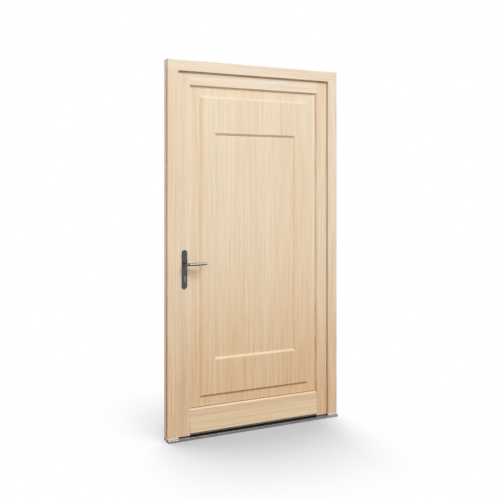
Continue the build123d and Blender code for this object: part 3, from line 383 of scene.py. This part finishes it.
def finish_skin(tree, given, put, wear, gloss, gloss_span, height):
    """Ends such a group: wear parts its two colours, and gloss spreads its roughness."""
    spread = node(tree, "ShaderNodeMapRange", None, {"From Min": gloss_span[0], "From Max": gloss_span[1]})
    join(tree, gloss, spread.inputs["Value"])
    join(tree, given.outputs["Smooth"], spread.inputs["To Min"])
    join(tree, given.outputs["Rough"], spread.inputs["To Max"])
    colour = blend_colour(tree, wear, given.outputs["Clean"], given.outputs["Worn"])
    join(tree, colour, put.inputs["Color"])
    join(tree, spread.outputs["Result"], put.inputs["Roughness"])
    join(tree, height, put.inputs["Height"])
    return tree


print("surface groups share", len(surface_outputs), "outputs")

# %% [markdown]
# Drawn metal has long lines from the die and a soft cloud where hands and cloths have been. Moulded plastic
# has a grain from its mould and dust that lies unevenly. Both could be one group with a switch, but two
# short ones are easier to read.

# %% Groups for drawn metal and moulded surfaces
line_share = 0.6


def make_drawn_metal():
    tree, given, put = start_skin("drawn_metal", smooth=0.25, rough=0.4)
    place = given.outputs["Vector"]
    lines = scaled_noise(tree, place, stretch=(9.0, 1500.0, 1500.0), detail=3.0, roughness=0.6)
    cloud = scaled_noise(tree, place, stretch=(26.0, 40.0, 40.0), detail=3.0, roughness=0.6)
    gloss = math_node(tree, "ADD", math_node(tree, "MULTIPLY", lines, line_share),
                      math_node(tree, "MULTIPLY", cloud, 1.0 - line_share))
    return finish_skin(tree, given, put, wear=remap(tree, cloud, (0.35, 0.7)), gloss=gloss,
                       gloss_span=(0.25, 0.75), height=lines)


def make_moulded_skin():
    tree, given, put = start_skin("moulded_skin", smooth=0.45, rough=0.6)
    place = given.outputs["Vector"]
    grain = scaled_noise(tree, place, stretch=(1400.0, 1400.0, 1400.0), detail=2.0, roughness=0.5)
    dust = scaled_noise(tree, place, stretch=(30.0, 45.0, 45.0), detail=4.0, roughness=0.65)
    return finish_skin(tree, given, put, wear=remap(tree, dust, (0.45, 0.75)), gloss=dust,
                       gloss_span=(0.3, 0.7), height=grain)


drawn_metal = make_drawn_metal()
moulded_skin = make_moulded_skin()
print("groups", drawn_metal.name, moulded_skin.name)

# %% [markdown]
# ## Metals and plastics
# Every metal and plastic on the door is one of these two groups with values of its own. Each could be built
# by itself, but one function makes them all: it turns the pattern along the piece, places the group, and
# sets on the shader itself the numbers that are the same all over.

# %% A finish from a group
lines_along_x = (0.0, 0.0, 0.0)
lines_along_z = (0.0, math.pi / 2, 0.0)
lines_along_y = (0.0, 0.0, -math.pi / 2)


def grouped_finish(name, group, turn, clean, worn, roughness, bump_strength=0.1, specular=0.5):
    """A finish from one of the two groups, with its lines turned along the piece."""
    made, tree, shader = start_material(name)
    smooth, rough = roughness
    place = node(tree, "ShaderNodeTexCoord")
    turned = node(tree, "ShaderNodeMapping", None, {"Rotation": turn})
    skin = node(tree, "ShaderNodeGroup", {"node_tree": group},
                {"Clean": linear(*clean), "Worn": linear(*worn), "Smooth": smooth, "Rough": rough})
    bump = node(tree, "ShaderNodeBump", None, {"Strength": bump_strength, "Distance": 0.0001})
    join(tree, place.outputs["Object"], turned.inputs["Vector"])
    join(tree, turned.outputs["Vector"], skin.inputs["Vector"])
    join(tree, skin.outputs["Color"], shader.inputs["Base Color"])
    join(tree, skin.outputs["Roughness"], shader.inputs["Roughness"])
    join(tree, skin.outputs["Height"], bump.inputs["Height"])
    join(tree, bump.outputs["Normal"], shader.inputs["Normal"])
    shader.inputs["Metallic"].default_value = 1.0 if group == drawn_metal else 0.0
    shader.inputs["Specular IOR Level"].default_value = specular
    return made


print("finishes come from", drawn_metal.name, "or", moulded_skin.name)

# %% [markdown]
# The lists give the direction of the lines, the clean and the worn colour, the span of roughness and, where
# they differ from the usual, the bump and the specular level. The dowels are beech, a wood without strong
# rings, but they are hidden in the joints, so the pine group in browner tones will do.

# %% Materials for metal, plastic, rubber and beech
bare_aluminium = ((156, 155, 153), (140, 139, 137))
metals = {
    "threshold_aluminium": (lines_along_x, *bare_aluminium, (0.10, 0.22)),
    "lock_steel": (lines_along_z, (196, 196, 194), (172, 172, 170), (0.25, 0.42)),
    "hinge_metal": (lines_along_z, (190, 190, 190), (170, 169, 166), (0.22, 0.36)),
    "cylinder_nickel": (lines_along_y, (128, 126, 123), (112, 110, 108), (0.16, 0.3)),
    "plate_graphite": (lines_along_z, (88, 87, 88), (78, 77, 78), (0.24, 0.38)),
    "lever_dark_chrome": (lines_along_x, (106, 103, 99), (96, 93, 90), (0.09, 0.16), 0.02),
}
mouldings = {
    "grey_plastic": (lines_along_x, (224, 225, 226), (206, 206, 205), (0.4, 0.6)),
    "brown_rubber": (lines_along_z, (98, 62, 38), (120, 82, 56), (0.5, 0.75), 0.1, 0.3),
    "bearing_plastic": (lines_along_x, (226, 225, 219), (202, 200, 194), (0.4, 0.55)),
    "fibre_core": (lines_along_x, (186, 160, 124), (164, 138, 104), (0.7, 0.9), 0.5),
}
beech_tones = ((222, 190, 152), (196, 152, 110), (212, 176, 134))
finishes = {name: grouped_finish(name, drawn_metal, *values) for name, values in metals.items()}
finishes |= {name: grouped_finish(name, moulded_skin, *values) for name, values in mouldings.items()}
finishes["beech"] = pine_board("beech_dowel", beech_tones, along_x, (0.0, 0.4, 0.2))
print("finishes", sorted(finishes))

# %% [markdown]
# ## Strips at the foot
# The seal under the leaf is one strip in two tones: a grey carrier that is pushed into the timber and a
# black lip that wipes the threshold. The threshold's nose is bare metal below; above, between the jambs, it
# has a darker brownish band of painted shade and painted reflection of the wood under the leaf. Each could
# be two solids, but each is made in one, so a mask on the height above the floor parts the two tones.

# %% Tones parted by height
edge_blur = 0.0004


def part_by_height(finish, height, half_width, colour):
    """Gives a finish another colour above a height, between two ends."""
    tree = finish.node_tree
    shader = tree.nodes["Principled BSDF"]
    below = shader.inputs["Base Color"].links[0].from_socket
    upright = node(tree, "ShaderNodeSeparateXYZ")
    above = node(tree, "ShaderNodeMix", {"data_type": "RGBA"}, {mix_second: linear(*colour)})
    join(tree, tree.nodes["Texture Coordinate"].outputs["Object"], upright.inputs["Vector"])
    raised = remap(tree, upright.outputs["Z"], (height - edge_blur, height + edge_blur))
    out = math_node(tree, "ABSOLUTE", upright.outputs["X"])
    between = remap(tree, out, (half_width - edge_blur, half_width + edge_blur), to=(1.0, 0.0))
    join(tree, math_node(tree, "MULTIPLY", raised, between), above.inputs["Factor"])
    join(tree, below, above.inputs[mix_first])
    join(tree, above.outputs[mix_result], shader.inputs["Base Color"])
    return finish


print("two tones meet over", round(edge_blur * 2000.0, 2), "mm")

# %% [markdown]
# The three strips then take their tones. The black bar in the tread is worn smooth by shoes and mirrors the
# wood above it. A mirror could be mixed in as a second shader, but one shader is enough when its roughness
# is low and its IOR, which sets how much it mirrors, is high.

# %% Seal, nose and tread
lip_top, bare_top = 0.0197, 0.0103
leaf_half, tread_half = 0.48, 0.47
# The nose's second tone is painted shade and a painted reflection of the wood under the leaf.
carrier_grey, nose_painted_shade = (124, 122, 119), (104, 97, 93)
lip_black, tread_black, dusty_black = (12, 12, 12), (14, 13, 13), (26, 25, 24)
polish_ior = 1.9
seal_strip = grouped_finish("seal_strip", moulded_skin, lines_along_x, lip_black, dusty_black, (0.45, 0.7),
                            specular=0.25)
nose_metal = grouped_finish("nose_metal", drawn_metal, lines_along_x, *bare_aluminium, (0.26, 0.40))
tread_bar = grouped_finish("tread_bar", moulded_skin, lines_along_x, tread_black, dusty_black, (0.08, 0.2),
                           bump_strength=0.05, specular=1.0)
tread_bar.node_tree.nodes["Principled BSDF"].inputs["IOR"].default_value = polish_ior
strips = {
    "bottom_seal": part_by_height(seal_strip, lip_top, leaf_half, carrier_grey),
    # The nose's upper band between the jambs is painted shade and painted reflection.
    "threshold_outer_profile": part_by_height(nose_metal, bare_top, tread_half, nose_painted_shade),
    "threshold_thermal_bar": tread_bar,
}
print("seal lip ends", lip_top, "m and bare nose", bare_top, "m above the floor")

# %% [markdown]
# ## Finishes on the solids
# Each solid comes in with a plain stand-in material in its slots. They could be changed one by one, but
# every solid has a name: a board takes its own pine, a strip at the foot takes its own finish, and every
# other solid takes the finish that the record names for it.

# %% Give every solid its finish
slot_of = {part["node"]: part["material_slot"] for part in frame["record"]["subparts"]}
for name, solid in nodes.items():
    finish = boards.get(name) or strips.get(name) or finishes[slot_of[name]]
    for slot in solid.material_slots:
        slot.material = finish
print("finishes on", len(nodes), "solids")

# %% [markdown]
# ## Screws with a cross recess
# In the CAD file the lock's screws are plain rods with a cone for a head. A real one has a cross recess that
# centres the driver, and below the cone a shank with a blunt tip. A profile could be spun round the axis,
# but the recess isn't round, so the screw starts as a disc instead and its rim is drawn out, length by
# length. Two helpers do the drawing out.

# %% Draw out a rim
def push(shape, geometry, depth, share):
    """Moves new vertices down and draws them in towards the axis."""
    moved = [part for part in geometry if isinstance(part, bmesh.types.BMVert)]
    bmesh.ops.scale(shape, verts=moved, vec=(share, share, 1.0))
    bmesh.ops.translate(shape, verts=moved, vec=(0.0, 0.0, -depth))


def draw_out(shape, depth, share):
    """Extrudes the open rim, so that the screw grows by one length."""
    rim = [edge for edge in shape.edges if edge.is_boundary]
    push(shape, bmesh.ops.extrude_edge_only(shape, edges=rim)["geom"], depth, share)


print("screw helpers ready")

# %% [markdown]
# The recess could be cut out with a boolean, but a boolean leaves long thin triangles. Here the disc is
# inset, four cuts divide the inner disc, and the five faces of the cross are pushed down and drawn in, as
# the tip of a driver narrows. Then the rim is drawn out into the cone, the shank and the tip. The new faces
# can be listed in another order on every run, so they are sorted along an uneven axis at the end.

# %% Model one screw
rim_steps = 32
recess_share, arm_share = 0.62, 0.13
sunk_share, sunk_depth_share = 0.62, 0.75
tip_share = 0.55
cut_slack = 1e-7
sort_axis = Vector((1.0, 2.7, 7.4))


def cross_screw(head_radius, head_depth, shank_radius, length):
    """A countersunk screw with its face at the origin, looking along +Z."""
    shape = bmesh.new()
    bmesh.ops.create_circle(shape, cap_ends=True, segments=rim_steps, radius=head_radius)
    bmesh.ops.inset_region(shape, faces=shape.faces[:], thickness=head_radius * (1.0 - recess_share),
                           use_boundary=True, use_even_offset=True)
    recess, arm = head_radius * recess_share, head_radius * arm_share
    for across in (Vector((1.0, 0.0, 0.0)), Vector((0.0, 1.0, 0.0))):
        for offset in (-arm, arm):
            inside = [face for face in shape.faces if face.calc_center_median().length < recess]
            edges = {edge for face in inside for edge in face.edges}
            corners = {corner for face in inside for corner in face.verts}
            bmesh.ops.bisect_plane(shape, geom=[*inside, *edges, *corners], dist=cut_slack,
                                   plane_co=across * offset, plane_no=across)
    middles = [(face, face.calc_center_median()) for face in shape.faces]
    cross = [face for face, middle in middles
             if middle.length < recess and min(abs(middle.x), abs(middle.y)) < arm]
    sunk = bmesh.ops.extrude_face_region(shape, geom=cross)["geom"]
    bmesh.ops.delete(shape, geom=cross, context="FACES")
    push(shape, sunk, head_depth * sunk_depth_share, sunk_share)
    draw_out(shape, head_depth, shank_radius / head_radius)
    draw_out(shape, length - head_depth - shank_radius, 1.0)
    draw_out(shape, shank_radius, tip_share)
    bmesh.ops.holes_fill(shape, edges=[edge for edge in shape.edges if edge.is_boundary])
    bmesh.ops.recalc_face_normals(shape, faces=shape.faces[:])
    shape.faces.sort(key=lambda face: face.calc_center_median().dot(sort_axis))
    return shape


trial = cross_screw(head_radius=0.004, head_depth=0.0022, shank_radius=0.0022, length=0.030)
open_edges = [edge for edge in trial.edges if not edge.is_manifold]
print("one screw has", len(trial.faces), "faces and", len(open_edges), "open edges")
trial.free()

# %% [markdown]
# Each set of screws stands where its plain solid stands. Places could be typed in, but the solid's box gives
# the head's face, the length and the two heights, so nothing has to be measured twice. A driver never stops
# at the same angle, so each screw is turned a little further than the one before. Each call names the new
# screws, the solid that they stand for, the body that they ride on and where the heads look, and ends with
# the depth of the head and the radius of the shank in metres.

# %% Fit the screws in place of the plain ones
upward = Vector((0.0, 0.0, 1.0))
first_turn, next_turn = 0.35, 0.6
sharp_angle = math.radians(30)


def fit_screws(name, solid, body, facing, head_depth, shank_radius):
    """Screws in place of a plain solid, with their heads looking along one direction."""
    low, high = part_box(solid)
    axis, side = (0, 1) if facing.x else (1, 0)
    head_radius = (high[side] - low[side]) / 2
    middle = (low + high) / 2
    middle[axis] = high[axis] if facing[axis] > 0 else low[axis]
    heights = sorted({round(low.z + head_radius, 4), round(high.z - head_radius, 4)})
    look = upward.rotation_difference(facing).to_matrix().to_4x4()
    whole = bmesh.new()
    mesh = bpy.data.meshes.new(name)
    for count, height in enumerate(heights):
        screw = cross_screw(head_radius, head_depth, shank_radius, high[axis] - low[axis])
        turn = Matrix.Rotation(first_turn + next_turn * count, 4, "Z")
        place = Matrix.Translation((middle.x, middle.y, height))
        bmesh.ops.transform(screw, matrix=place @ look @ turn, verts=screw.verts)
        screw.to_mesh(mesh)
        screw.free()
        whole.from_mesh(mesh)
    whole.to_mesh(mesh)
    whole.free()
    mesh.polygons.foreach_set("use_smooth", [True] * len(mesh.polygons))
    mesh.set_sharp_from_angle(angle=sharp_angle)
    mesh.materials.append(finishes["lock_steel"])
    piece = bpy.data.objects.new(name, mesh)
    scene.collection.objects.link(piece)
    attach(piece, body)
    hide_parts(solid)
    print(name, len(heights), "at", heights, "head", round(head_radius, 4), "m")


to_lock_jamb, to_room = Vector((-1.0, 0.0, 0.0)), Vector((0.0, 1.0, 0.0))
fit_screws("strike_cross_screws", "strike_screws", "frame", -to_lock_jamb, 0.0020, 0.0022)
fit_screws("faceplate_cross_screws", "faceplate_screws", "leaf", to_lock_jamb, 0.0022, 0.0022)
fit_screws("cylinder_cross_screw", "cylinder_screw", "leaf", to_lock_jamb, 0.0022, 0.0025)
fit_screws("backplate_cross_screws", "backplate_screws", "leaf", to_room, 0.0030, 0.0030)

# %% [markdown]
# ## World
# The door stands in a studio whose walls throw soft light from all round. Lamps on every side could do that,
# but the world does it evenly, in a warm tone that keeps the shadow lines on the wood brown. The ground of
# the picture is white. More light would make it so but bleach the wood, so only rays from the camera, from
# mirror-like surfaces and through glass see the world as pure white, and that adds no light to the door.

# %% World
sky_colour, sky_strength = (1.0, 0.83, 0.65, 1.0), 0.27
pure_white = (1.0, 1.0, 1.0, 1.0)


def part_by_ray(tree, lighting, shown, output):
    """One shader for the light that is thrown, another for what is seen or mirrored."""
    ray = node(tree, "ShaderNodeLightPath")
    seen = math_node(tree, "MAXIMUM", ray.outputs["Is Camera Ray"], ray.outputs["Is Glossy Ray"])
    seen = math_node(tree, "MAXIMUM", seen, ray.outputs["Is Transmission Ray"])
    either = node(tree, "ShaderNodeMixShader")
    join(tree, seen, either.inputs[0])
    join(tree, lighting.outputs[0], either.inputs[1])
    join(tree, shown.outputs[0], either.inputs[2])
    join(tree, either.outputs[0], tree.nodes[output].inputs["Surface"])


world = bpy.data.worlds.new("studio")
scene.world = world
world.use_nodes = True
soft_sky = world.node_tree.nodes["Background"]
soft_sky.inputs["Color"].default_value = sky_colour
soft_sky.inputs["Strength"].default_value = sky_strength
white_sky = node(world.node_tree, "ShaderNodeBackground", None, {"Color": pure_white, "Strength": 1.0})
part_by_ray(world.node_tree, soft_sky, white_sky, "World Output")
print("world strength", sky_strength)

# %% [markdown]
# ## Floor
# The door stands on a studio floor that seems to have no end. A backdrop that curves up behind the door could
# hide its edge, but the world is white already, so one large flat sheet is enough. It isn't part of the
# door, so it is marked as stage.

# %% Floor sheet
floor_half = 30.0
shape = bmesh.new()
bmesh.ops.create_grid(shape, x_segments=1, y_segments=1, size=floor_half)
floor_mesh = bpy.data.meshes.new("floor")
shape.to_mesh(floor_mesh)
shape.free()
floor = bpy.data.objects.new("floor", floor_mesh)
scene.collection.objects.link(floor)
print("floor", floor_half * 2, "m across")

# %% [markdown]
# The floor is pale and runs out into the white ground. A lit floor would show an edge against the white, so
# the camera sees one that glows with a strength of 1 and is dimmed where the door closes in the space above
# it, which keeps the door's soft shadow. The space that is looked at leans towards the door from both sides,
# and the shadow fades out beside the frame. The light that the floor throws back on the door comes from a
# brown matt surface, because a white one would light the undersides of the mouldings.

# %% Pale floor with the door's shadow
floor_brown = (0.27, 0.15, 0.07, 1.0)
shadow_reach, lean_up, lean_in, door_back = 1.05, 0.9, 0.45, 0.08
shadow_offset, shadow_full, shadow_end = 0.12, 0.42, 0.80
closed_in, deepest_shade = 0.30, 0.54
pale, ground, floor_shader = start_material("pale_floor")
ground.nodes.remove(floor_shader)
matt = node(ground, "ShaderNodeBsdfDiffuse", None, {"Color": floor_brown})
glow = node(ground, "ShaderNodeEmission", None, {"Strength": 1.0})
place = node(ground, "ShaderNodeTexCoord")
across = node(ground, "ShaderNodeSeparateXYZ")
near = node(ground, "ShaderNodeAmbientOcclusion", {"samples": 16}, {"Distance": shadow_reach})
towards_door = node(ground, "ShaderNodeCombineXYZ", None, {"X": 0.0, "Z": lean_up})
tint = node(ground, "ShaderNodeCombineColor")
join(ground, place.outputs["Object"], across.inputs["Vector"])
join(ground, remap(ground, across.outputs["Y"], (0.0, door_back), to=(lean_in, -lean_in)),
     towards_door.inputs["Y"])
join(ground, towards_door.outputs["Vector"], near.inputs["Normal"])
aside = math_node(ground, "ABSOLUTE", math_node(ground, "ADD", across.outputs["X"], shadow_offset))
beside = remap(ground, aside, (shadow_full, shadow_end), to=(1.0, 0.0))
loss = math_node(ground, "SUBTRACT", 1.0,
                 remap(ground, near.outputs["AO"], (closed_in, 1.0), to=(deepest_shade, 1.0)))
shade = math_node(ground, "SUBTRACT", 1.0, math_node(ground, "MULTIPLY", loss, beside))
for channel in ("Red", "Green", "Blue"):
    join(ground, shade, tint.inputs[channel])
join(ground, tint.outputs["Color"], glow.inputs["Color"])
part_by_ray(ground, matt, glow, "Material Output")
floor_mesh.materials.append(pale)
print("shadow reaches", shadow_reach, "m and is no darker than", deepest_shade)

# %% [markdown]
# ## Lamps
# Mouldings show by their shadow lines, so the light needs a direction. A sun lamp would draw them hard, so a
# large square lamp stands in front, high up and to the right. A small one on the left lights the side of the
# frame, and one behind does for the room side what the first does for the street side.

# %% Lamps
door_middle, lock_side = (0.0, 0.0, 1.2), (-0.5, 0.0, 1.1)
neutral, warm_white = (1.0, 1.0, 1.0), (1.0, 0.92, 0.86)


def soft_lamp(name, place, target, size, power, colour):
    """A square area lamp that faces a point."""
    data = bpy.data.lights.new(name, "AREA")
    data.shape = "SQUARE"
    data.size = size
    data.energy = power
    data.color = colour
    lamp = bpy.data.objects.new(name, data)
    lamp.location = place
    lamp.rotation_euler = (Vector(target) - Vector(place)).to_track_quat("-Z", "Y").to_euler()
    scene.collection.objects.link(lamp)


soft_lamp("front_lamp", (3.8, -12.2, 12.2), door_middle, size=8.0, power=2640.0, colour=neutral)
soft_lamp("left_lamp", (-4.4, -1.2, 1.9), lock_side, size=0.9, power=41.0, colour=warm_white)
soft_lamp("room_lamp", (-2.6, 12.4, 10.4), door_middle, size=5.5, power=2150.0, colour=neutral)
